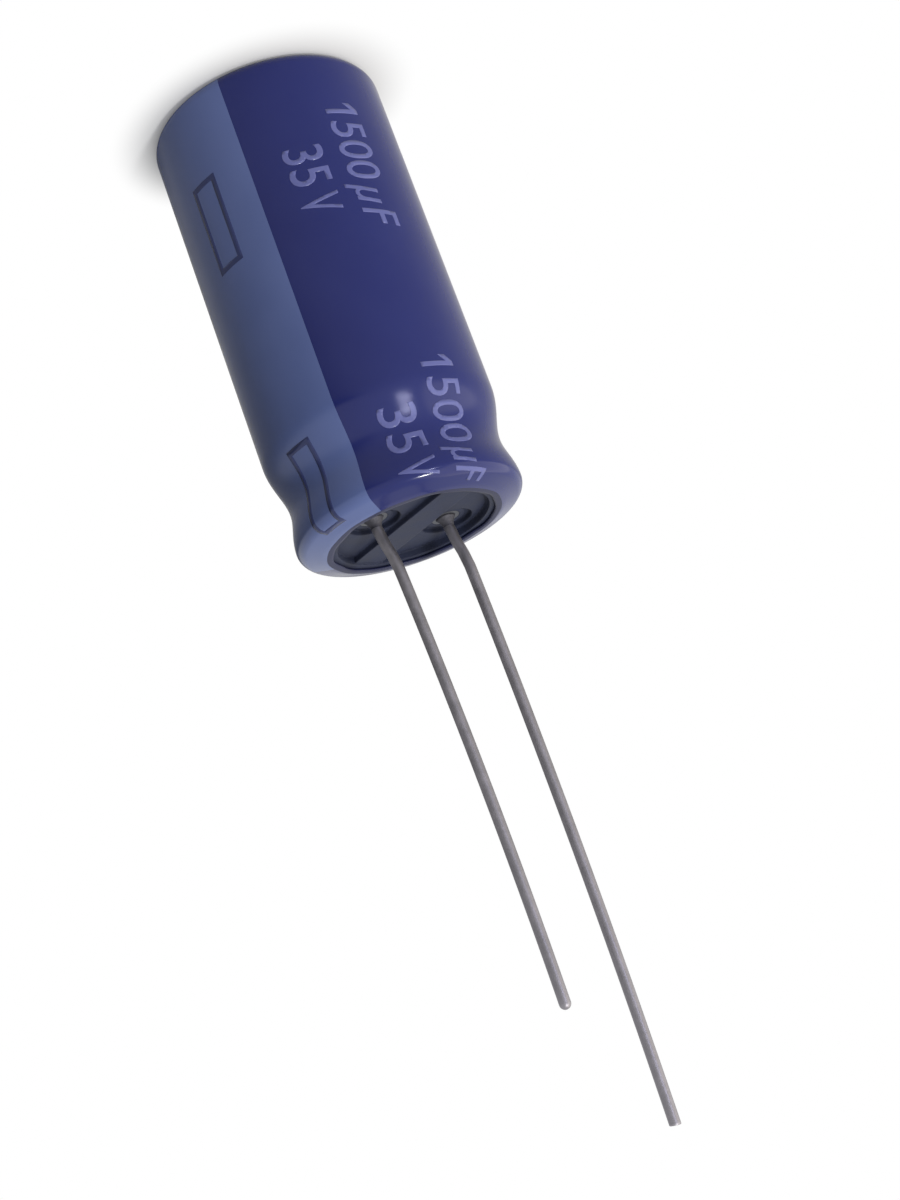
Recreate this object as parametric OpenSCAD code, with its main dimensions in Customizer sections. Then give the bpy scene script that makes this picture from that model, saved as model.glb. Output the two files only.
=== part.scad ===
// Radial aluminium electrolytic capacitor, standing on its closed end.
// Z runs along the axis from the closed end to the leads, X runs through both leads.

/* [Can] */
// Outside diameter of the drawn can
can_d = 12.5; // [11:0.5:16]
// Height of the can, from its closed face to the top of the rolled rim
can_h = 25.1; // [21:0.1:35]
// Thickness of the can's side wall
wall_t = 0.3; // [0.2:0.05:0.35]
// Thickness of the can's closed end
base_t = 0.4; // [0.3:0.05:0.8]
// Outside radius of the drawn corner at the closed end
corner_r = 0.6; // [0.4:0.05:1]
// Distance from the top of the rim down to the deepest point of the groove
groove_drop = 2.62; // [2.2:0.01:3]
// Depth of the groove that grips the seal
groove_depth = 0.85; // [0.5:0.05:1]
// Length of the slope from the straight wall down into the groove
groove_run = 3; // [1.5:0.1:4]
// Radius lost between the straight wall and the bead above the groove
bead_inset = 0.21; // [0.1:0.01:0.4]
// Outside radius of the rim that is curled into the seal
curl_r = 0.45; // [0.4:0.05:0.6]

/* [Vent] */
// Length of each arm-to-arm score line in the closed end
score_len = 7; // [4:0.5:8]
// Width of the score line at the surface
score_w = 0.3; // [0.2:0.05:0.5]
// Depth of the score line
score_depth = 0.15; // [0.1:0.05:0.2]

/* [Sleeve] */
// Thickness of the shrunk sleeve
sleeve_t = 0.15; // [0.1:0.05:0.3]
// Gap between the sleeve and the can
sleeve_gap = 0.01; // [0.01:0.01:0.05]
// Distance that the sleeve stands off the bottom of the groove
sleeve_bridge = 0.28; // [0.1:0.01:0.4]
// Distance that the sleeve folds in over the closed end, from the can's side
base_fold = 1.45; // [1.2:0.05:2.5]
// Height of the sleeve's lip above the can's rolled rim
mouth_rise = 0.42; // [0.25:0.01:0.6]
// Distance from the middle of the can's curl in to the edge of the sleeve's opening
mouth_inset = 1.14; // [1:0.01:1.4]
// Width of the flat lip around the opening
lip_flat = 0.35; // [0.2:0.05:0.45]

/* [Seal] */
// Height of the rubber seal from its inner face to the top of its bar
seal_h = 5; // [4.5:0.1:6]
// Gap between the seal and the can or the sleeve
seal_gap = 0.02; // [0.01:0.01:0.05]
// Chamfer around the inner face
seal_chamfer = 0.4; // [0.2:0.1:0.8]
// Width of the raised ring that carries the sleeve's lip
ring_w = 0.55; // [0.4:0.05:0.8]
// Distance from the sleeve's lip down to the top of the bar between the leads
bar_drop = 0.28; // [0.2:0.01:0.4]
// Width of the bar between the leads
bar_w = 1.9; // [1.4:0.1:2]
// Depth of the flats beside the bar, below its top
flat_depth = 0.3; // [0.1:0.05:0.5]
// Diameter of the pocket around each lead
pocket_d = 2.8; // [2.6:0.1:3]
// Depth of the pocket below the flats
pocket_depth = 0.3; // [0.15:0.05:0.4]
// Wall of the collar that grips the tab inside each pocket
collar_wall = 0.3; // [0.2:0.05:0.45]
// Height of the collar above the pocket's floor
collar_h = 0.1; // [0.05:0.05:0.15]

/* [Terminals] */
// Distance between the leads' centres
lead_pitch = 5; // [4.8:0.1:5.2]
// Diameter of the tinned wire
lead_d = 0.6; // [0.5:0.05:0.8]
// Length of the long, positive lead above the sleeve's lip
long_lead = 32.5; // [20:0.5:40]
// Length of the short, negative lead above the sleeve's lip
short_lead = 25.9; // [15:0.1:35]
// Slant that the cutter left on the end of the long lead
cut_angle = 10; // [0:1:25]
// Height of the weld bead at the foot of each wire
weld_h = 0.55; // [0.3:0.05:0.6]
// Distance that the weld bead spreads out past the wire
weld_fillet = 0.25; // [0.15:0.05:0.35]
// Diameter of the tab's round shank
shank_d = 1.5; // [1.3:0.1:1.7]
// Gap between the shank and its hole in the seal
shank_gap = 0.01; // [0.01:0.01:0.03]
// Length of the shoulder between the shank and the flat paddle
shoulder_h = 0.9; // [0.6:0.1:1.2]
// Thickness of the paddle that is stitched to the foil
paddle_t = 0.2; // [0.15:0.01:0.3]
// Width of the paddle
paddle_w = 2.2; // [1.6:0.1:2.4]
// Distance from the foil's lower edge to the end of the paddle
paddle_rise = 1.5; // [0.5:0.5:5]

/* [Winding] */
// Thickness of the etched anode foil
anode_t = 0.11; // [0.08:0.01:0.14]
// Thickness of the cathode foil
cathode_t = 0.06; // [0.04:0.01:0.1]
// Thickness of each separator paper
paper_t = 0.07; // [0.05:0.01:0.1]
// Gap between layers of the winding
layer_gap = 0.01; // [0.005:0.005:0.02]
// Diameter of the hole left by the winding spindle
spindle_d = 1.8; // [1.4:0.1:2.4]
// Gap between the winding and the can, around it and below it
winding_gap = 0.1; // [0.05:0.05:0.3]
// Free height between the papers and the seal
head_room = 1.6; // [1.5:0.1:2.5]
// Distance that the papers stand out past the foils at each end
paper_margin = 0.7; // [0.3:0.1:1.2]
// Thickness of the tape that closes the winding
tape_t = 0.05; // [0.03:0.01:0.1]
// Distance from each end of the winding to the tape
tape_margin = 3; // [1:0.5:6]

/* [Hidden] */
$fn = 96;
slope_steps = 16;
arc_steps = 10;
overlap = 0.5;

can_r = can_d / 2;
base_z = sleeve_t + sleeve_gap;
floor_z = base_z + base_t;
rim_z = base_z + can_h;
bead_z = rim_z - curl_r;
groove_z = rim_z - groove_drop;
groove_r = can_r - groove_depth;
bead_r = can_r - bead_inset;
curl_x = bead_r - curl_r;
mouth_z = rim_z + mouth_rise;
mouth_r = curl_x - mouth_inset;
lip_r = mouth_r + lip_flat;

// Heights of the rubber: the ring under the lip, the bar, the flats beside it, the pockets and their collars
ring_r = lip_r - sleeve_t / 2;
ring_z = mouth_z - sleeve_t - seal_gap;
bar_z = mouth_z - bar_drop;
seal_z = bar_z - seal_h;
flat_z = bar_z - flat_depth;
pocket_z = flat_z - pocket_depth;
collar_z = pocket_z + collar_h;
collar_d = shank_d + 2 * collar_wall;
weld_d = lead_d + 2 * weld_fillet;
lead_x = lead_pitch / 2;

// The winding stands clear of the rounded corner inside the closed end
paper_z = floor_z + corner_r - wall_t + winding_gap;
paper_h = seal_z - head_room - paper_z;
foil_z = paper_z + paper_margin;
foil_h = paper_h - 2 * paper_margin;
paddle_z = foil_z + paddle_rise;
shoulder_z = paper_z + paper_h + layer_gap;

// The four layers in order outwards, each with the radius where it starts
inner_paper_r = spindle_d / 2;
anode_r = inner_paper_r + paper_t + layer_gap;
outer_paper_r = anode_r + anode_t + layer_gap;
cathode_r = outer_paper_r + paper_t + layer_gap;
turn_pitch = cathode_r + cathode_t + layer_gap - inner_paper_r;
half_pitch = turn_pitch / 2;

// A winding that bulges by twice this much makes room for a paddle with a gap on both sides
paddle_angle = asin(paddle_w / 2 / lead_x);
bulge = paddle_t / 2 + 3 * layer_gap;
// Half turns where the paddles lie: odd ones end on the right, even ones on the left
positive_turn = 2 * round((lead_x - anode_r - anode_t) / turn_pitch) - 1;
negative_turn = 2 * round((lead_x - cathode_r - cathode_t) / turn_pitch);
// The papers start a whole turn before the foils, the cathode foil ends one after the anode foil,
// the papers end one after both, and the tape closes the winding with one more
whole_turn = 2;
winding_room = can_r - wall_t - winding_gap - inner_paper_r - 2 * bulge - tape_t;
last_turn = floor(winding_room / half_pitch) - 1 - whole_turn;

function ease(t) = (1 - cos(180 * t)) / 2;
function arc(centre, r, from, to) =
    [for (i = [0 : arc_steps]) let (a = from + (to - from) * i / arc_steps) centre + r * [cos(a), sin(a)]];
function reverse(points) = [for (i = [len(points) - 1 : -1 : 0]) points[i]];
function distinct(points) =
    [for (i = [0 : len(points) - 1]) if (i == 0 || norm(points[i] - points[i - 1]) > 1e-6) points[i]];
// Straight wall, groove and bead, from the bottom up
function grooved_wall(body_r, neck_r, top_r) = concat(
    [for (i = [0 : slope_steps])
        [body_r + (neck_r - body_r) * ease(i / slope_steps), groove_z - groove_run * (1 - i / slope_steps)]],
    [for (i = [1 : slope_steps])
        [neck_r + (top_r - neck_r) * ease(i / slope_steps), groove_z + (bead_z - groove_z) * i / slope_steps]]);
// Radius and centre of a half turn, which steps out once past each paddle
function steps_out(turn, positive_step, negative_step) =
    bulge * ((turn >= positive_step ? 1 : 0) + (turn >= negative_step ? 1 : 0));
function steps_across(turn, positive_step, negative_step) =
    bulge * ((turn >= positive_step ? 1 : 0) - (turn >= negative_step ? 1 : 0));
function turn_r(start_r, turn, positive_step) =
    start_r + half_pitch * turn + steps_out(turn, positive_step, negative_turn + whole_turn);
function turn_x(turn, positive_step) =
    half_pitch * (turn % 2) + steps_across(turn, positive_step, negative_turn + whole_turn);

// Sector of a ring about an upright line through centre_x
module sector(centre_x, r, t, z, h, from, sweep) {
    translate([centre_x, 0, z])
        rotate([0, 0, from])
            rotate_extrude(angle = sweep)
                translate([r, 0])
                    square([t, h]);
}

// A strip wound in half turns whose centres alternate, so each meets the next
module strip(start_r, t, z, h, first, last, positive_step) {
    for (turn = [first : last])
        sector(turn_x(turn, positive_step), turn_r(start_r, turn, positive_step), t, z, h,
               180 * (turn % 2), 180);
}

module can() {
    color("silver")
    difference() {
        rotate_extrude()
            polygon(distinct(concat(
                [[0, base_z]],
                arc([can_r - corner_r, base_z + corner_r], corner_r, -90, 0),
                grooved_wall(can_r, groove_r, bead_r),
                arc([curl_x, bead_z], curl_r, 0, 180),
                arc([curl_x, bead_z], curl_r - wall_t, 180, 0),
                reverse(grooved_wall(can_r - wall_t, groove_r - wall_t, bead_r - wall_t)),
                arc([can_r - corner_r, floor_z + corner_r - wall_t], corner_r - wall_t, 0, -90),
                [[0, floor_z]])));
        for (a = [0, 90])
            rotate([0, 0, a])
                score_line();
    }
}

// V-shaped line pressed into the closed end, where the can opens under pressure
module score_line() {
    translate([-score_len / 2, 0, base_z])
        rotate([90, 0, 90])
            linear_extrude(score_len)
                polygon([[-score_w, -score_depth], [score_w, -score_depth], [0, score_depth]]);
}

module sleeve() {
    fit_r = can_r + sleeve_gap;
    neck_r = groove_r + sleeve_bridge;
    fit_bead_r = bead_r + sleeve_gap;
    fit_corner_r = corner_r + sleeve_gap;
    fit_curl_r = curl_r + sleeve_gap;
    corner = [can_r - corner_r, base_z + corner_r];
    curl = [curl_x, bead_z];
    window_r = can_r - base_fold;
    // The film leaves the curl where it runs straight up to the lip
    lip = [lip_r, mouth_z];
    lip_angle = atan2(lip[1] - curl[1], lip[0] - curl[0]) - acos((fit_curl_r + sleeve_t) / norm(lip - curl));
    under_lip = lip - sleeve_t * [cos(lip_angle) / (1 + sin(lip_angle)), 1];
    color("midnightblue")
    rotate_extrude()
        polygon(distinct(concat(
            [[window_r, 0]],
            arc(corner, fit_corner_r + sleeve_t, -90, 0),
            grooved_wall(fit_r + sleeve_t, neck_r + sleeve_t, fit_bead_r + sleeve_t),
            arc(curl, fit_curl_r + sleeve_t, 0, lip_angle),
            [lip, [mouth_r, mouth_z], [mouth_r, mouth_z - sleeve_t], under_lip],
            arc(curl, fit_curl_r, lip_angle, 0),
            reverse(grooved_wall(fit_r, neck_r, fit_bead_r)),
            arc(corner, fit_corner_r, 0, -90),
            [[window_r, sleeve_t]])));
}

// Outline of the rubber where it fills the groove and carries the curled rim
function seal_side() =
    [for (p = grooved_wall(can_r, groove_r, bead_r))
        if (p[1] > seal_z + seal_chamfer && p[1] < bead_z - seal_gap) [p[0] - wall_t - seal_gap, p[1]]];

module seal() {
    rim_foot_r = curl_x - curl_r - seal_gap;
    hollow_r = ring_r - ring_w;
    color("dimgray")
    difference() {
        union() {
            difference() {
                rotate_extrude()
                    polygon(concat(
                        [[0, seal_z], [seal_side()[0][0] - seal_chamfer, seal_z],
                         [seal_side()[0][0], seal_z + seal_chamfer]],
                        seal_side(),
                        [[bead_r - wall_t - seal_gap, bead_z - seal_gap],
                         [rim_foot_r, bead_z - seal_gap],
                         [rim_foot_r, rim_z - seal_gap],
                         [ring_r, rim_z - seal_gap],
                         [ring_r, ring_z],
                         [hollow_r, ring_z],
                         [hollow_r, flat_z],
                         [0, flat_z]]));
                for (side = [-1, 1])
                    translate([side * lead_x, 0, pocket_z])
                        cylinder(h = pocket_depth + overlap, d = pocket_d);
            }
            intersection() {
                translate([-bar_w / 2, -ring_r, flat_z - overlap])
                    cube([bar_w, 2 * ring_r, flat_depth + overlap]);
                translate([0, 0, flat_z - overlap])
                    cylinder(h = flat_depth + overlap, r = ring_r - ring_w / 2);
            }
            for (side = [-1, 1])
                translate([side * lead_x, 0, pocket_z - overlap])
                    cylinder(h = collar_h + overlap, d = collar_d);
        }
        for (side = [-1, 1])
            translate([side * lead_x, 0, seal_z - overlap])
                cylinder(h = seal_h + 2 * overlap, d = shank_d + 2 * shank_gap);
    }
}

module anode_foil() {
    color("gainsboro")
    strip(anode_r, anode_t, foil_z, foil_h, whole_turn, last_turn - 2 * whole_turn, positive_turn + whole_turn);
}

module cathode_foil() {
    color("darkgray")
    strip(cathode_r, cathode_t, foil_z, foil_h, whole_turn, last_turn - whole_turn, positive_turn);
}

module inner_separator() {
    color("wheat")
    strip(inner_paper_r, paper_t, paper_z, paper_h, 0, last_turn, positive_turn + whole_turn);
}

module outer_separator() {
    color("burlywood")
    strip(outer_paper_r, paper_t, paper_z, paper_h, 0, last_turn, positive_turn);
}

module winding_tape() {
    color("khaki")
    strip(inner_paper_r, tape_t, paper_z + tape_margin, paper_h - 2 * tape_margin,
          last_turn + 1, last_turn + whole_turn, positive_turn + whole_turn);
}

// Round shank, shoulder and paddle pressed from one wire; the paddle follows the foil that it is stitched to
module tab(side, foil_r, foil_t, turn, positive_step) {
    start_r = foil_r + foil_t + 2 * layer_gap;
    centre_x = side * (turn_x(turn, positive_step) + turn_x(turn + 1, positive_step)) / 2;
    r = (turn_r(start_r, turn, positive_step) + turn_r(start_r, turn + 1, positive_step)) / 2;
    shank_z = shoulder_z + shoulder_h;
    mirror([side < 0 ? 1 : 0, 0, 0]) {
        sector(centre_x, r, paddle_t, paddle_z, shoulder_z + shoulder_h / 4 - paddle_z,
               -paddle_angle, 2 * paddle_angle);
        intersection() {
            translate([lead_x, 0, shoulder_z])
                cylinder(h = shoulder_h, d1 = paddle_w, d2 = shank_d);
            translate([centre_x, 0, 0])
                rotate([0, 0, -45])
                    rotate_extrude(angle = 90)
                        polygon([[r + paddle_t / 4, shoulder_z], [r + paddle_t * 3 / 4, shoulder_z],
                                 [lead_x - centre_x + shank_d, shank_z],
                                 [lead_x - centre_x - shank_d, shank_z]]);
        }
        translate([lead_x, 0, shank_z])
            cylinder(h = collar_z - shank_z, d = shank_d);
    }
}

module positive_tab() {
    color("lightgray")
    tab(1, anode_r, anode_t, positive_turn, positive_turn + whole_turn);
}

module negative_tab() {
    color("lightgray")
    tab(-1, cathode_r, cathode_t, negative_turn, positive_turn);
}

// Weld bead that tapers from the tab's end to the wire
module weld_bead() {
    cylinder(h = weld_h, d1 = weld_d, d2 = lead_d);
}

module positive_lead() {
    wire_h = mouth_z + long_lead - collar_z;
    color("gray")
    translate([lead_x, 0, collar_z]) {
        weld_bead();
        difference() {
            cylinder(h = wire_h, d = lead_d);
            translate([0, lead_d / 2, wire_h])
                rotate([cut_angle, 0, 0])
                    translate([-lead_d, -2 * lead_d, 0])
                        cube(2 * lead_d);
        }
    }
}

module negative_lead() {
    wire_h = mouth_z + short_lead - collar_z - lead_d / 2;
    color("gray")
    translate([-lead_x, 0, collar_z]) {
        weld_bead();
        cylinder(h = wire_h, d = lead_d);
        translate([0, 0, wire_h])
            sphere(d = lead_d);
    }
}

sleeve();
can();
seal();
anode_foil();
cathode_foil();
inner_separator();
outer_separator();
winding_tape();
positive_tab();
negative_tab();
positive_lead();
negative_lead();
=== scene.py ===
import math

import bmesh
import bpy
from mathutils import Matrix, Vector


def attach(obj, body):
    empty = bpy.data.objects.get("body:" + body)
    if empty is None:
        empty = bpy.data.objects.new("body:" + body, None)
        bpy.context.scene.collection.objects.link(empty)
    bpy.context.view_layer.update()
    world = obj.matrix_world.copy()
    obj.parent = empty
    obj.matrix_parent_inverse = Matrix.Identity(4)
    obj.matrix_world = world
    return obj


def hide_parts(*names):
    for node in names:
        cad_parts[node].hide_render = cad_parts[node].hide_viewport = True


# A radial aluminium electrolytic capacitor on its closed end, dressed for the render.
# Sizes are in millimetres and turned to metres by MM, as in the part's source.
# Angles are in degrees: azimuths go round +Z from +X, and elevations rise from the table.

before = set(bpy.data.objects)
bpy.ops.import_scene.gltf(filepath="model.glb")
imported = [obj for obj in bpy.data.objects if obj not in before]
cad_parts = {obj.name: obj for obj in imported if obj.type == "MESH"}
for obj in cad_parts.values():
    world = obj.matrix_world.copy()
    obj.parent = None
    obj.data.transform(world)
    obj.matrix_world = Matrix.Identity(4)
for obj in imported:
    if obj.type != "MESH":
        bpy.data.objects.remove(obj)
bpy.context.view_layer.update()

MM = 0.001

# How near counts as one vertex, in metres, and as the same place, in millimetres
MERGE = 1e-7
SNAP = 0.01

# Can and sleeve, as packed
CAN_R = 6.25
BASE_Z = 0.16
RIM_Z = 25.26
CORNER_R = 0.6
CURL_R = 0.45
CURL_X = 5.59
FILM = 0.15
FILM_GAP = 0.01
OUTER_R = CAN_R + FILM_GAP + FILM
CORNER_FOLD_R = CORNER_R + FILM_GAP + FILM
NECK_R = 5.83
NECK_Z = 22.64
NECK_RUN = 3.0
BEAD_R = 6.2
BEAD_Z = RIM_Z - CURL_R
FOLD_R = CURL_R + FILM_GAP + FILM
LIP_R = 4.8
LIP_ANGLE = 73.5
MOUTH_R = 4.45
MOUTH_Z = 25.68
WINDOW_R = 4.8
BASE_RING_R = 5.2
WALL_Z = BASE_Z + CORNER_R

# How finely the sleeve's profile is divided, from the closed end up, and the whole round it
CORNER_STEPS = 8
WALL_STEPS = 14
SLOPE_STEPS = 16
BEAD_STEPS = 14
FOLD_STEPS = 10
LIP_STEPS = 3
STEPS_AROUND = 240

# Waves of the film's cut edge: how many go round the mouth, their share of the radius and
# their phase in radians. They fade out at WAVE_R, a little outside the lip.
MOUTH_WAVES = ((3, 0.012, 0.6), (7, 0.009, 0), (13, 0.006, 0))
WAVE_R = LIP_R + 0.3

# Leads: the wire stands on the tab's collar in a weld, drifts aside near it and bows above
COLLAR_Z = 24.9
LEAD_X = 2.5
LEAD_R = 0.3
LEAD_SIDES = 32
FOOT_STEPS = 6
WELD_R = 0.55
WELD_H = 0.55
WELD_TOP_Z = COLLAR_Z + WELD_H
LONG_TIP_Z = 58.18
SHORT_TIP_Z = 51.58
BOW_STEP = 0.8
DRIFT = 0.26
DRIFT_RUN = 2.4
DRIFT_AZIMUTH = 45

# Ends of the wires. The long one is sheared: its shank stops CUT_DEPTH below the tip, and what
# lies within CUT_REACH of the tip is slanted, with a broken edge of CUT_EDGE. The short one is
# rounded nearly to its axis and closed by a small flat.
CUT_ANGLE = 10
CUT_DEPTH = 0.15
CUT_REACH = 0.1
CUT_EDGE = 0.03
ROUND_ANGLE = 84
ROUND_STEPS = 6

# Print: the stripe, and how the ink lies over the skin and bends with it
STRIPE_AZIMUTH = 149.5
STRIPE_SPAN = 90
INK_LIFT = 0.012
INK_FILM = 0.016
INK_BEND_STEP = 0.2
CAP_HEIGHT = 0.682
LETTER_WEIGHT = 0.006

# Each rating: its name, azimuth and cap height, then each copy of it. A copy holds words with
# where they start along the can, how long they run and how far they lean.
RATINGS = (
    ("capacitance_print", 105, 2.0, (
        (("1", 3.45, 0.67, 0), ("500", 4.62, 3.6, 0),
         ("µ", 8.5, 1.25, 0.25), ("F", 10.0, 1.1, 0.15)),
        (("1", 18.85, 0.65, 0), ("500", 20.1, 3.65, 0),
         ("µ", 23.95, 1.1, 0.25), ("F", 25.15, 1.1, 0.15)))),
    ("voltage_print", 132.7, 2.09, (
        (("35", 5.85, 2.3, 0), ("V", 8.75, 1.1, 0)),
        (("35", 21.15, 2.6, 0), ("V", 24.3, 1.1, 0)))),
)

# The digit 1 is drawn here, because the font's is a plain bar: how wide its bar is, how wide
# its flag is where it leaves the bar, and how far the flag droops
ONE_BAR = 0.27
ONE_FLAG = 0.42
ONE_DROP = 0.4

# Minus marks on the stripe: length, azimuth and where the middle lies along the can
MINUS_MARKS = ((5.25, 175.8, 7.63), (5.2, 176.5, 23.4))
MINUS_WIDTH = 1.88
MINUS_LINE = 0.3

# Camera: the photo's view, which is rolled so that the leads point down
CAMERA_AZIMUTH = 135
CAMERA_ELEVATION = 17.5
CAMERA_ROLL = 159.835
CAMERA_DISTANCE = 112.918
CAMERA_AIM = Vector((0.3435, 0.3435, 29.8235))

# Table: from where to where it fades to white, for the camera and for reflections, and from
# where to where its painted shade, a grey left side, turns pale, along an azimuth
TABLE_R = 6000
SHADOW_FADE = (5, 9)
MIRROR_FADE = (150, 400)
SHADE_FADE = (-40, -7)
SHADE_AZIMUTH = 45
LAMP_AIM = Vector((0, 0, 15))

# Room: the azimuth that its light comes from, and its strength there and on the far side,
# where it stays weakest up to a cosine
ROOM_AZIMUTH = 60
ROOM_LIGHT = 1.05
ROOM_DARK = 0.03
ROOM_DARK_COSINE = -0.8

# Noise values that a pattern uses, since few lie outside them, and a noise without stretch
NOISE_SPAN = (0.2, 0.8)
EVEN = (1, 1, 1)


def srgb(code):
    """Turns a hex colour such as 3A4B5C into a linear RGBA tuple."""
    channels = [int(code[i:i + 2], 16) / 255 for i in (0, 2, 4)]
    linear = [c / 12.92 if c <= 0.04045 else ((c + 0.055) / 1.055) ** 2.4 for c in channels]
    return (*linear, 1.0)


def toward(azimuth, elevation=0):
    """Unit vector from the part toward an azimuth and an elevation."""
    around = math.radians(azimuth)
    up = math.radians(elevation)
    return Vector((math.cos(around) * math.cos(up), math.sin(around) * math.cos(up), math.sin(up)))


def add_node(owner, kind, settings=None, inputs=None):
    """Adds a node. An input is a plain value, or the output socket that feeds it."""
    tree = owner.node_tree
    node = tree.nodes.new(kind)
    for name, value in (settings or {}).items():
        setattr(node, name, value)
    for name, value in (inputs or {}).items():
        if isinstance(value, bpy.types.NodeSocket):
            tree.links.new(value, node.inputs[name])
        else:
            node.inputs[name].default_value = value
    return node


def new_material(name):
    """An empty node material."""
    material = bpy.data.materials.new(name)
    material.use_nodes = True
    material.node_tree.nodes.clear()
    return material


def make_finish(name, colours, roughness, tone, relief, depth, rounding=0, **constants):
    """A finish whose colour, gloss and relief vary over the piece.

    Tone and relief are noises, each given by the size of its blobs in millimetres, its detail,
    its roughness and its stretch. Tone blends the two colours and the two values of roughness.
    Relief is depth millimetres high, and rounding softens the edges that it lies on.
    """
    material = new_material(name)
    where = add_node(material, "ShaderNodeTexCoord")
    noises = []
    for size, detail, harshness, stretch in (tone, relief):
        place = add_node(material, "ShaderNodeMapping", None, {
            "Vector": where.outputs["Object"], "Scale": stretch})
        noises.append(add_node(material, "ShaderNodeTexNoise", None, {
            "Vector": place.outputs["Vector"], "Scale": 1 / (size * MM),
            "Detail": detail, "Roughness": harshness}).outputs["Fac"])
    blend = add_node(material, "ShaderNodeValToRGB", None, {"Fac": noises[0]})
    for stop, position, colour in zip(blend.color_ramp.elements, NOISE_SPAN, colours):
        stop.position = position
        stop.color = srgb(colour)
    gloss = add_node(material, "ShaderNodeMapRange", None, {
        "Value": noises[0], "From Min": NOISE_SPAN[0], "From Max": NOISE_SPAN[1],
        "To Min": roughness[0], "To Max": roughness[1]})
    height = {"Height": noises[1], "Distance": depth * MM}
    if rounding:
        edge = add_node(material, "ShaderNodeBevel", {"samples": 6}, {"Radius": rounding * MM})
        height["Normal"] = edge.outputs["Normal"]
    skin = add_node(material, "ShaderNodeBump", None, height)
    shader = add_node(material, "ShaderNodeBsdfPrincipled", None, {
        "Base Color": blend.outputs["Color"],
        "Roughness": gloss.outputs["Result"],
        "Normal": skin.outputs["Normal"],
        **constants})
    add_node(material, "ShaderNodeOutputMaterial", None, {"Surface": shader.outputs["BSDF"]})
    return material


def shrunk_pvc(name, colours, roughness):
    """Heat-shrunk PVC film: hot air leaves it glossy, with faint ripples that bend highlights."""
    return make_finish(name, colours, roughness,
                       tone=(4.0, 1, 0.5, EVEN), relief=(1.6, 1, 0.4, EVEN),
                       depth=0.004, IOR=1.38)


def sheet_aluminium(name, colours, roughness, grain, depth):
    """Bare aluminium: a soft grey shine, broken by the grain that its making leaves."""
    return make_finish(name, colours, roughness,
                       tone=(1.5, 3, 0.5, EVEN), relief=grain, depth=depth, Metallic=1.0)


# Navy film, the sleeve's own colour: the glossiest, so the two bright spots show on it
navy_film = shrunk_pvc("heat_shrunk_pvc_navy", ("19215E", "1F2763"), (0.14, 0.19))

# Slate ink of the stripe, printed over the film: a little less glossy
stripe_film = shrunk_pvc("gravure_ink_slate_on_pvc", ("526192", "5A699A"), (0.2, 0.26))

# Lavender ink of the ratings: thin, so it follows the film and shines with it
print_ink = shrunk_pvc("gravure_ink_lavender_on_pvc", ("555A8F", "5D6298"), (0.18, 0.24))

# Film that shows through the stripe's ink: the dark outline of the minus marks
outline_ink = shrunk_pvc("pvc_showing_through_stripe", ("28315C", "303965"), (0.18, 0.24))

# Lip ring and cut edge of the film round the mouth: dull, and painted darker than the navy film as
# painted shade, so no bright line follows the lip
lip_film_painted_shade = shrunk_pvc("pvc_lip_with_painted_shade", ("141938", "1B2044"), (0.45, 0.55))

# Moulded butyl rubber: dull and blue grey, with a fine grain and soft edges from the mould
rubber = make_finish("moulded_butyl_rubber", ("191E30", "252C44"), (0.6, 0.75),
                     tone=(1.2, 3, 0.5, EVEN), relief=(0.12, 2, 0.6, EVEN),
                     depth=0.01, rounding=0.12, IOR=1.4)

# Tinned steel wire: drawn, so its scratches run along it, and dulled by handling
wire = make_finish("dull_tinned_steel_wire", ("807E83", "949197"), (0.35, 0.5),
                   tone=(0.8, 3, 0.6, EVEN), relief=(0.05, 3, 0.6, (1, 1, 0.05)),
                   depth=0.004, Metallic=1.0)

# Spot-welded foot of a wire: melted tin and aluminium, lumpy and rough. Its dark grey is partly
# the joint's own colour and partly painted shade of the pocket it stands in
weld = make_finish("spot_welded_joint", ("3E3E46", "5C5B62"), (0.55, 0.7),
                   tone=(0.25, 3, 0.6, EVEN), relief=(0.25, 3, 0.6, EVEN),
                   depth=0.03, Metallic=0.7)

# Deep-drawn can: satin, with draw lines along its wall
can_metal = sheet_aluminium("deep_drawn_aluminium", ("C4C6C8", "CFD1D2"), (0.29, 0.38),
                            (0.2, 3, 0.6, (1, 1, 0.1)), 0.004)

# Anode foil: etched to a sponge and anodised, so it is grey and nearly matt
anode_metal = sheet_aluminium("etched_anodised_aluminium_foil", ("8E9093", "9C9EA0"), (0.5, 0.65),
                              (0.05, 3, 0.6, EVEN), 0.008)

# Cathode foil: etched only, so it is paler and a little smoother
cathode_metal = sheet_aluminium("etched_aluminium_foil", ("A8A9AB", "B6B7B8"), (0.45, 0.6),
                                (0.05, 3, 0.6, EVEN), 0.008)

# Tabs: cold-pressed, and painted dark grey as painted shade of the pockets round the leads, where
# they show
tab_metal_painted_shade = sheet_aluminium("cold_pressed_aluminium", ("5F6167", "6E7076"), (0.5, 0.62),
                            (0.15, 3, 0.6, EVEN), 0.005)

# Kraft paper soaked with electrolyte: pale tan, with damp fibres along the roll
paper = make_finish("soaked_kraft_paper", ("C9B58B", "D9C8A2"), (0.45, 0.7),
                    tone=(0.15, 4, 0.7, (1, 1, 0.3)), relief=(0.15, 4, 0.7, (1, 1, 0.3)),
                    depth=0.01, IOR=1.5)

# Polyester film tape: smooth and yellowish, with light streaks round the wrap
tape = make_finish("polyester_film_tape", ("C9AE62", "D8C07A"), (0.2, 0.26),
                   tone=(0.6, 2, 0.5, (0.3, 0.3, 3)), relief=(0.6, 2, 0.5, (0.3, 0.3, 3)),
                   depth=0.004, IOR=1.6)

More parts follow.
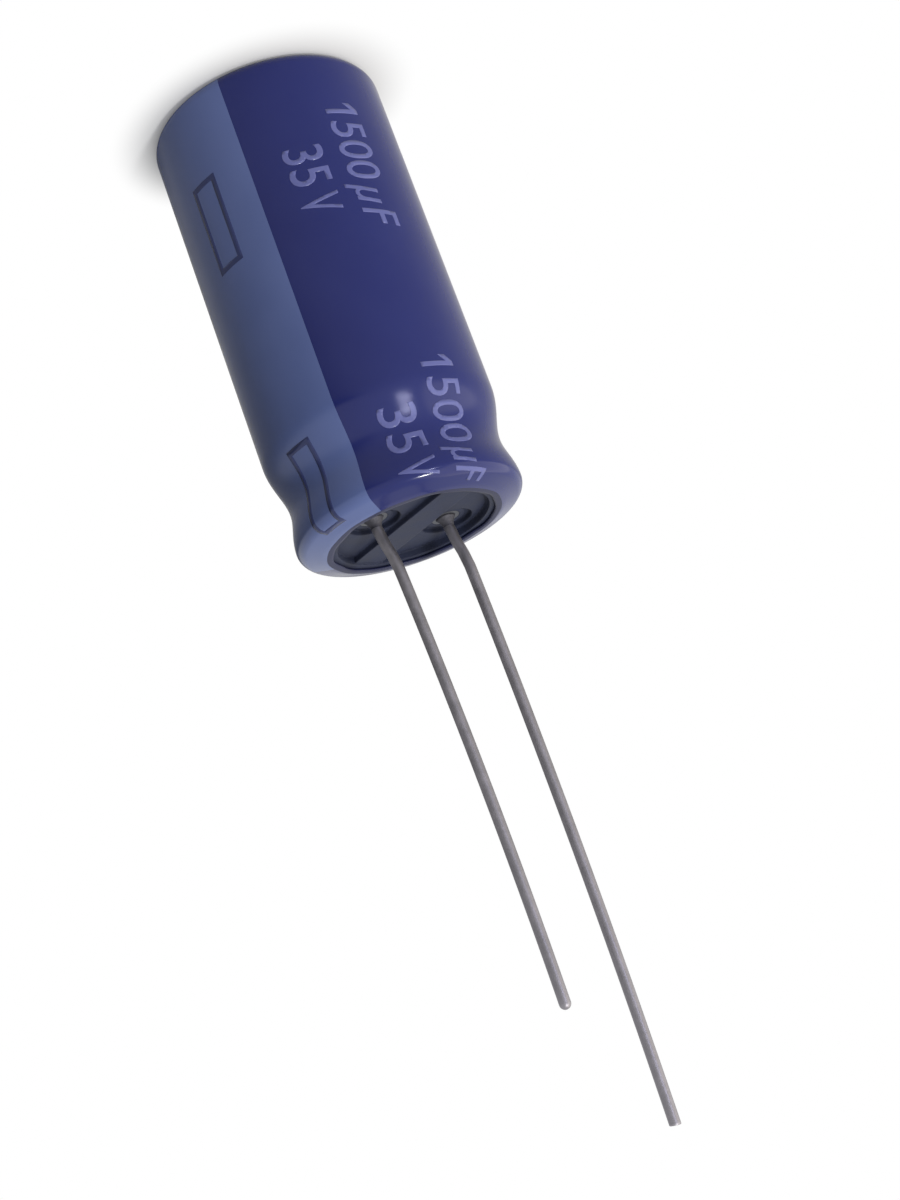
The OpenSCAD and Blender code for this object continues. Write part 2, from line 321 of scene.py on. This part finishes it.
# CAD nodes that show as they are, each with its finish
FINISHES = {
    "can": can_metal,
    "seal": rubber,
    "anode_foil": anode_metal,
    "cathode_foil": cathode_metal,
    "inner_separator": paper,
    "outer_separator": paper,
    "winding_tape": tape,
    "positive_tab": tab_metal_painted_shade,
    "negative_tab": tab_metal_painted_shade,
}


def steps_to(start, end, count):
    """Evenly spaced values from just past the start up to the end."""
    return [start + (end - start) * i / count for i in range(1, count + 1)]


def ease(t):
    """Half a cosine wave from 0 to 1, the form that a rolled groove takes."""
    return (1 - math.cos(math.pi * t)) / 2


def arc(x, z, r, start, end, count):
    """Points on an arc round x and z, from one angle to another."""
    angles = [math.radians(start)] + [math.radians(a) for a in steps_to(start, end, count)]
    return [(x + r * math.cos(a), z + r * math.sin(a)) for a in angles]


def outer_radius(z):
    """Outside radius of the sleeve's wall at a height."""
    if z < NECK_Z - NECK_RUN:
        return OUTER_R
    if z < NECK_Z:
        return OUTER_R + (NECK_R - OUTER_R) * ease(1 - (NECK_Z - z) / NECK_RUN)
    return NECK_R + (BEAD_R - NECK_R) * ease(min((z - NECK_Z) / (BEAD_Z - NECK_Z), 1))


def wall_profile():
    """Outside of the sleeve from the end of its lower corner to its mouth."""
    slope_z = NECK_Z - NECK_RUN
    heights = (steps_to(WALL_Z, slope_z, WALL_STEPS) + steps_to(slope_z, NECK_Z, SLOPE_STEPS)
               + steps_to(NECK_Z, BEAD_Z, BEAD_STEPS)[:-1])
    fold = arc(CURL_X, BEAD_Z, FOLD_R, 0, LIP_ANGLE, FOLD_STEPS)
    last_r, last_z = fold[-1]
    lip = zip(steps_to(last_r, LIP_R, LIP_STEPS), steps_to(last_z, MOUTH_Z, LIP_STEPS))
    mouth = [(r, MOUTH_Z) for r in steps_to(LIP_R, MOUTH_R, LIP_STEPS)]
    return [(OUTER_R, WALL_Z)] + [(outer_radius(z), z) for z in heights] + fold + [*lip] + mouth


def base_profile():
    """Outside of the sleeve from the window in the closed end to the end of its corner."""
    corner = arc(CAN_R - CORNER_R, WALL_Z, CORNER_FOLD_R, -90, 0, CORNER_STEPS)
    return [(WINDOW_R, 0), (BASE_RING_R, 0)] + corner[:-1]


WALL = wall_profile()


def finish_piece(name, bm, materials, replaced=()):
    """Makes a bmesh into a piece of the object that rides on the part."""
    mesh = bpy.data.meshes.new(name)
    bm.to_mesh(mesh)
    bm.free()
    piece = bpy.data.objects.new(name, mesh)
    bpy.context.scene.collection.objects.link(piece)
    for material in materials:
        mesh.materials.append(material)
    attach(piece, "root")
    if replaced:
        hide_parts(*replaced)
    return piece


def thicken(piece, name, wall):
    """Gives a piece its wall, inward from the faces that it has."""
    solid = piece.modifiers.new(name, "SOLIDIFY")
    solid.thickness = wall * MM
    solid.offset = -1


def mouth_wave(angle):
    """How unevenly the film has shrunk round the mouth, as a share of the radius."""
    return sum(share * math.sin(count * angle + start) for count, share, start in MOUTH_WAVES)


def make_sleeve():
    """The printed film: its outside, spun from a profile that starts at the stripe's edge."""
    bm = bmesh.new()
    verts = [bm.verts.new((r * MM, 0, z * MM)) for r, z in base_profile() + WALL]
    edges = [bm.edges.new(pair) for pair in zip(verts, verts[1:])]
    stripe_edge = math.radians(STRIPE_AZIMUTH)
    bmesh.ops.rotate(bm, verts=verts, cent=(0, 0, 0), matrix=Matrix.Rotation(stripe_edge, 3, "Z"))
    bmesh.ops.spin(bm, geom=verts + edges, cent=(0, 0, 0), axis=(0, 0, 1),
                   angle=2 * math.pi, steps=STEPS_AROUND, use_merge=True)
    bmesh.ops.remove_doubles(bm, verts=bm.verts, dist=MERGE)
    bmesh.ops.recalc_face_normals(bm, faces=bm.faces)
    wall_face = max(bm.faces, key=lambda f: f.calc_center_median().xy.length)
    if wall_face.normal.dot(wall_face.calc_center_median()) < 0:
        bmesh.ops.reverse_faces(bm, faces=bm.faces)
    materials = (navy_film, stripe_film, lip_film_painted_shade)
    for face in bm.faces:
        face.smooth = True
        centre = face.calc_center_median()
        past_edge = (math.atan2(centre.y, centre.x) - stripe_edge) % (2 * math.pi)
        # The lip ring round the mouth takes the darker film, which is painted shade
        if centre.xy.length < LIP_R * MM and centre.z > BEAD_Z * MM:
            face.material_index = materials.index(lip_film_painted_shade)
        elif past_edge < math.radians(STRIPE_SPAN):
            face.material_index = materials.index(stripe_film)
    for vert in bm.verts:
        reach = (WAVE_R - vert.co.xy.length / MM) / (WAVE_R - MOUTH_R)
        if reach > 0 and vert.co.z > BEAD_Z * MM:
            vert.co.xy *= 1 + reach * mouth_wave(math.atan2(vert.co.y, vert.co.x))
    piece = finish_piece("printed_sleeve", bm, materials, ("sleeve",))
    thicken(piece, "film", FILM)


def on_sleeve(run, around, lift):
    """Point over the sleeve's skin: run is the way along it, counted as a height up to where
    the wall starts, around is the angle about the axis, and lift is the height over the skin."""
    rest = run - WALL_Z
    for (r0, z0), (r1, z1) in zip(WALL, WALL[1:]):
        length = math.hypot(r1 - r0, z1 - z0)
        if rest <= length:
            break
        rest -= length
    out = (z1 - z0) / length
    rise = (r0 - r1) / length
    r = r0 + (r1 - r0) * rest / length + out * lift
    z = z0 + (z1 - z0) * rest / length + rise * lift
    return Vector((r * math.cos(around), r * math.sin(around), z)) * MM


def wrap_on(bm, azimuth, start):
    """Lays a flat drawing on the sleeve: its X runs up the can, its Y runs round it."""
    for axis, normal in enumerate((Vector((1, 0, 0)), Vector((0, 1, 0)))):
        values = [v.co[axis] for v in bm.verts]
        cut = math.floor(min(values) / INK_BEND_STEP) * INK_BEND_STEP
        while cut < max(values):
            cut += INK_BEND_STEP
            bmesh.ops.bisect_plane(bm, geom=bm.verts[:] + bm.edges[:] + bm.faces[:],
                                   plane_co=normal * cut, plane_no=normal)
    for vert in bm.verts:
        around = math.radians(azimuth) - vert.co.y / OUTER_R
        vert.co = on_sleeve(start + vert.co.x, around, INK_LIFT)


def text_drawing(words, height, length, lean):
    """Flat letters of a cap height and a length, from their lower left corner."""
    curve = bpy.data.curves.new("letters", "FONT")
    curve.body = words
    curve.size = 1.0
    curve.shear = lean
    curve.offset = LETTER_WEIGHT
    holder = bpy.data.objects.new("letters", curve)
    bpy.context.scene.collection.objects.link(holder)
    bpy.context.view_layer.update()
    graph = bpy.context.evaluated_depsgraph_get()
    mesh = bpy.data.meshes.new_from_object(holder.evaluated_get(graph))
    bm = bmesh.new()
    bm.from_mesh(mesh)
    bpy.data.objects.remove(holder)
    bpy.data.curves.remove(curve)
    bpy.data.meshes.remove(mesh)
    left = min(v.co.x for v in bm.verts)
    right = max(v.co.x for v in bm.verts)
    bmesh.ops.translate(bm, verts=bm.verts, vec=(-left, 0, 0))
    bmesh.ops.scale(bm, verts=bm.verts, vec=(length / (right - left), height / CAP_HEIGHT, 1))
    return bm


def rectangle_drawing(length, width):
    """A flat rectangle round the origin."""
    bm = bmesh.new()
    bmesh.ops.create_grid(bm, x_segments=1, y_segments=1, size=0.5)
    bmesh.ops.scale(bm, verts=bm.verts, vec=(length, width, 1))
    return bm


def one_drawing(height, length):
    """The digit 1: an upright bar with a flag drawn out of its upper left edge."""
    bm = rectangle_drawing(ONE_BAR, height)
    bmesh.ops.translate(bm, verts=bm.verts, vec=(length - ONE_BAR / 2, height / 2, 0))
    flag_y = height - ONE_FLAG
    bmesh.ops.bisect_plane(bm, geom=bm.verts[:] + bm.edges[:] + bm.faces[:],
                           plane_co=(0, flag_y, 0), plane_no=(0, 1, 0))
    root = [e for e in bm.edges
            if all(v.co.x < length - ONE_BAR / 2 and v.co.y > flag_y - SNAP for v in e.verts)]
    made = bmesh.ops.extrude_edge_only(bm, edges=root)["geom"]
    tip = [g for g in made if isinstance(g, bmesh.types.BMVert)]
    bmesh.ops.translate(bm, verts=tip, vec=(ONE_BAR - length, -ONE_DROP, 0))
    bmesh.ops.recalc_face_normals(bm, faces=bm.faces)
    return bm


def minus_drawing(length):
    """A flat outlined rectangle, the mark of the negative side."""
    bm = rectangle_drawing(length, MINUS_WIDTH)
    inside = bm.faces[:]
    bmesh.ops.inset_region(bm, faces=inside, thickness=MINUS_LINE,
                           use_boundary=True, use_even_offset=True)
    bmesh.ops.delete(bm, geom=inside, context="FACES_ONLY")
    return bm


def add_print(name, drawing, azimuth, start, material):
    """Prints a drawing on the sleeve as a thin film of ink."""
    bmesh.ops.triangulate(drawing, faces=drawing.faces)
    wrap_on(drawing, azimuth, start)
    bmesh.ops.dissolve_degenerate(drawing, edges=drawing.edges, dist=MERGE)
    for face in drawing.faces:
        face.smooth = True
    piece = finish_piece(name, drawing, (material,))
    thicken(piece, "ink", INK_FILM)


def add_prints():
    """Both copies of the two ratings, then the minus marks on the stripe."""
    for name, azimuth, height, copies in RATINGS:
        for number, words in enumerate(copies, 1):
            for place, (text, start, length, lean) in enumerate(words, 1):
                if text == "1":
                    drawing = one_drawing(height, length)
                else:
                    drawing = text_drawing(text, height, length, lean)
                add_print(f"{name}_{number}_{place}", drawing, azimuth, start, print_ink)
    for number, (length, azimuth, middle) in enumerate(MINUS_MARKS, 1):
        add_print(f"minus_mark_{number}", minus_drawing(length), azimuth, middle, outline_ink)


def wire_drift(z, lean, sag):
    """How far a wire stands off its straight line at a height: the drift near its weld, a lean
    for each millimetre above the weld, and a sag with the square of that height."""
    rise = max(z - WELD_TOP_Z, 0)
    step = min(rise / DRIFT_RUN, 1)
    return DRIFT * step * step * (3 - 2 * step) + lean * rise - sag * rise * rise


def wire_rings(tip_z, rounded):
    """Height and radius of each ring of a wire, from its weld on the tab up to its end."""
    foot = [(COLLAR_Z + WELD_H * t, LEAD_R + (WELD_R - LEAD_R) * (1 - t) ** 2)
            for t in steps_to(0, 1, FOOT_STEPS)]
    top = tip_z - (LEAD_R if rounded else CUT_DEPTH)
    shank = [(z, LEAD_R) for z in steps_to(WELD_TOP_Z, top, int((top - WELD_TOP_Z) / BOW_STEP))]
    if rounded:
        end = [(z, r) for r, z in arc(0, top, LEAD_R, 0, ROUND_ANGLE, ROUND_STEPS)[1:]]
    else:
        end = [(tip_z - CUT_EDGE, LEAD_R), (tip_z, LEAD_R - CUT_EDGE)]
    return [(COLLAR_Z, WELD_R)] + foot + shank + end


def make_lead(pole, side, tip_z, rounded, lean, sag):
    """A drawn wire that rises from its weld on the tab to its cut end, a little bowed."""
    bm = bmesh.new()
    rings = wire_rings(tip_z, rounded)
    centre = Vector((side * LEAD_X * MM, 0, 0))
    bmesh.ops.create_circle(bm, segments=LEAD_SIDES, radius=WELD_R * MM, cap_ends=False)
    bmesh.ops.translate(bm, verts=bm.verts, vec=centre + Vector((0, 0, COLLAR_Z * MM)))
    edges = bm.edges[:]
    for (z0, r0), (z1, r1) in zip(rings, rings[1:]):
        made = bmesh.ops.extrude_edge_only(bm, edges=edges)["geom"]
        verts = [g for g in made if isinstance(g, bmesh.types.BMVert)]
        edges = [g for g in made if isinstance(g, bmesh.types.BMEdge)]
        bmesh.ops.translate(bm, verts=verts, vec=(0, 0, (z1 - z0) * MM))
        bmesh.ops.scale(bm, verts=verts, vec=(r1 / r0, r1 / r0, 1),
                        space=Matrix.Translation(-centre))
    bmesh.ops.holes_fill(bm, edges=[e for e in bm.edges if e.is_boundary])
    bmesh.ops.recalc_face_normals(bm, faces=bm.faces)
    materials = (wire, weld)
    for face in bm.faces:
        face.smooth = len(face.verts) == 4
        # The foot below the weld's top takes the weld finish, whose dark grey is partly painted
        # shade
        if face.calc_center_median().z < WELD_TOP_Z * MM:
            face.material_index = materials.index(weld)
    slant = math.tan(math.radians(CUT_ANGLE))
    for vert in bm.verts:
        z = vert.co.z / MM
        if not rounded and z > tip_z - CUT_REACH:
            vert.co.z -= (LEAD_R * MM - vert.co.y) * slant
        vert.co += toward(DRIFT_AZIMUTH) * wire_drift(z, lean, sag) * MM
    finish_piece(f"{pole}_wire", bm, materials, (f"{pole}_lead",))


def aim(holder, target, azimuth, elevation, distance, roll=0):
    """Places a lamp or the camera so that it looks at a target from a direction."""
    away = toward(azimuth, elevation)
    turn = away.to_track_quat("Z", "Y").to_matrix() @ Matrix.Rotation(math.radians(roll), 3, "Z")
    holder.matrix_world = Matrix.Translation((target + away * distance) * MM) @ turn.to_4x4()
    bpy.context.scene.collection.objects.link(holder)


def add_camera():
    """The photo's camera."""
    lens = bpy.data.cameras.new("camera")
    lens.lens = 66
    lens.sensor_width = 36
    lens.clip_start = 0.005
    lens.clip_end = 50
    camera = bpy.data.objects.new("camera", lens)
    aim(camera, CAMERA_AIM, CAMERA_AZIMUTH, CAMERA_ELEVATION, CAMERA_DISTANCE, CAMERA_ROLL)
    bpy.context.scene.camera = camera


def add_lamp(name, azimuth, elevation, distance, size, power, colour):
    """A rectangular soft lamp that faces the part, with its power in watts."""
    lamp = bpy.data.lights.new(name, "AREA")
    lamp.shape = "RECTANGLE"
    lamp.size = size[0] * MM
    lamp.size_y = size[1] * MM
    lamp.energy = power
    lamp.color = srgb(colour)[:3]
    holder = bpy.data.objects.new(name, lamp)
    aim(holder, LAMP_AIM, azimuth, elevation, distance)


def matt_table():
    """Matt white laminate with painted shade: greyer on its left, so the can's left side mirrors a
    darker table. It hands over to a bright sheet farther out. The camera and reflections see the
    bright sheet, and other light comes off the laminate."""
    material = new_material("matt_white_table")
    where = add_node(material, "ShaderNodeTexCoord")
    reach = add_node(material, "ShaderNodeVectorMath", {"operation": "LENGTH"}, {
        0: where.outputs["Object"]})
    path = add_node(material, "ShaderNodeLightPath")
    mirror = add_node(material, "ShaderNodeMath", {"operation": "MAXIMUM"}, {
        0: path.outputs["Is Glossy Ray"], 1: path.outputs["Is Transmission Ray"]})
    shares = []
    for ray, (near, far) in ((path.outputs["Is Camera Ray"], SHADOW_FADE),
                             (mirror.outputs[0], MIRROR_FADE)):
        fade = add_node(material, "ShaderNodeMapRange", {"interpolation_type": "SMOOTHSTEP"}, {
            "Value": reach.outputs["Value"], "From Min": near * MM, "From Max": far * MM})
        shares.append(add_node(material, "ShaderNodeMath", {"operation": "MULTIPLY"}, {
            0: fade.outputs["Result"], 1: ray}).outputs[0])
    bright = add_node(material, "ShaderNodeMath", {"operation": "MAXIMUM"}, {
        0: shares[0], 1: shares[1]})
    across = add_node(material, "ShaderNodeVectorMath", {"operation": "DOT_PRODUCT"}, {
        0: where.outputs["Object"], 1: toward(SHADE_AZIMUTH)})
    shade = add_node(material, "ShaderNodeMapRange", None, {
        "Value": across.outputs["Value"],
        "From Min": SHADE_FADE[0] * MM, "From Max": SHADE_FADE[1] * MM})
    # Painted shade: the laminate is grey on its left and pale on its right, so the can's left side
    # mirrors a darker table
    painted_shade_tint = add_node(material, "ShaderNodeValToRGB", None, {"Fac": shade.outputs["Result"]})
    for stop, colour in zip(painted_shade_tint.color_ramp.elements, ("848484", "CCCCCC")):
        stop.color = srgb(colour)
    laminate = add_node(material, "ShaderNodeBsdfDiffuse", None, {"Color": painted_shade_tint.outputs["Color"]})
    sheet = add_node(material, "ShaderNodeEmission", None, {"Color": srgb("FFFFFF")})
    mix = add_node(material, "ShaderNodeMixShader", None, {
        0: bright.outputs[0], 1: laminate.outputs["BSDF"], 2: sheet.outputs["Emission"]})
    add_node(material, "ShaderNodeOutputMaterial", None, {"Surface": mix.outputs["Shader"]})
    return material


def make_table():
    """The table that the part stands on, which takes its small shadow."""
    bm = bmesh.new()
    bmesh.ops.create_circle(bm, cap_ends=True, segments=64, radius=TABLE_R * MM)
    mesh = bpy.data.meshes.new("floor")
    bm.to_mesh(mesh)
    bm.free()
    table = bpy.data.objects.new("floor", mesh)
    bpy.context.scene.collection.objects.link(table)
    mesh.materials.append(matt_table())


def add_room():
    """Surroundings that look white and are mirrored white, but light the part from one side."""
    world = bpy.data.worlds.new("studio")
    bpy.context.scene.world = world
    world.use_nodes = True
    world.node_tree.nodes.clear()
    where = add_node(world, "ShaderNodeTexCoord")
    side = add_node(world, "ShaderNodeVectorMath", {"operation": "DOT_PRODUCT"}, {
        0: where.outputs["Generated"], 1: toward(ROOM_AZIMUTH)})
    soft = add_node(world, "ShaderNodeMapRange", None, {
        "Value": side.outputs["Value"], "From Min": ROOM_DARK_COSINE,
        "To Min": ROOM_DARK, "To Max": ROOM_LIGHT})
    path = add_node(world, "ShaderNodeLightPath")
    direct = add_node(world, "ShaderNodeMath", {"operation": "MAXIMUM"}, {
        0: path.outputs["Is Camera Ray"], 1: path.outputs["Is Glossy Ray"]})
    seen = add_node(world, "ShaderNodeMath", {"operation": "MAXIMUM"}, {
        0: direct.outputs[0], 1: path.outputs["Is Transmission Ray"]})
    level = add_node(world, "ShaderNodeMix", None, {
        "Factor": seen.outputs[0], 2: soft.outputs["Result"], 3: 1.0})
    sky = add_node(world, "ShaderNodeBackground", None, {
        "Color": srgb("FFFFFF"), "Strength": level.outputs[0]})
    add_node(world, "ShaderNodeOutputWorld", None, {"Surface": sky.outputs["Background"]})


# The part
for node, finish in FINISHES.items():
    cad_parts[node].data.materials.clear()
    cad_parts[node].data.materials.append(finish)
make_sleeve()
add_prints()
make_lead("positive", 1, LONG_TIP_Z, False, lean=0.0259, sag=0.00085)
make_lead("negative", -1, SHORT_TIP_Z, True, lean=0.0527, sag=0.001275)

# The stage: a wide warm lamp on the right, and two small ones that make the bright spots on
# the neck's slope and on the bead
add_camera()
make_table()
add_lamp("key", 45, 36, 235, (400, 400), 0.54, "FFF6E4")
add_lamp("low_glint", 102, 8.9, 300, (60, 10), 0.095, "DADCFF")
add_lamp("high_glint", 101, 51, 300, (30, 20), 0.36, "FFFFFF")
add_room()
bpy.context.scene.view_settings.view_transform = "Standard"
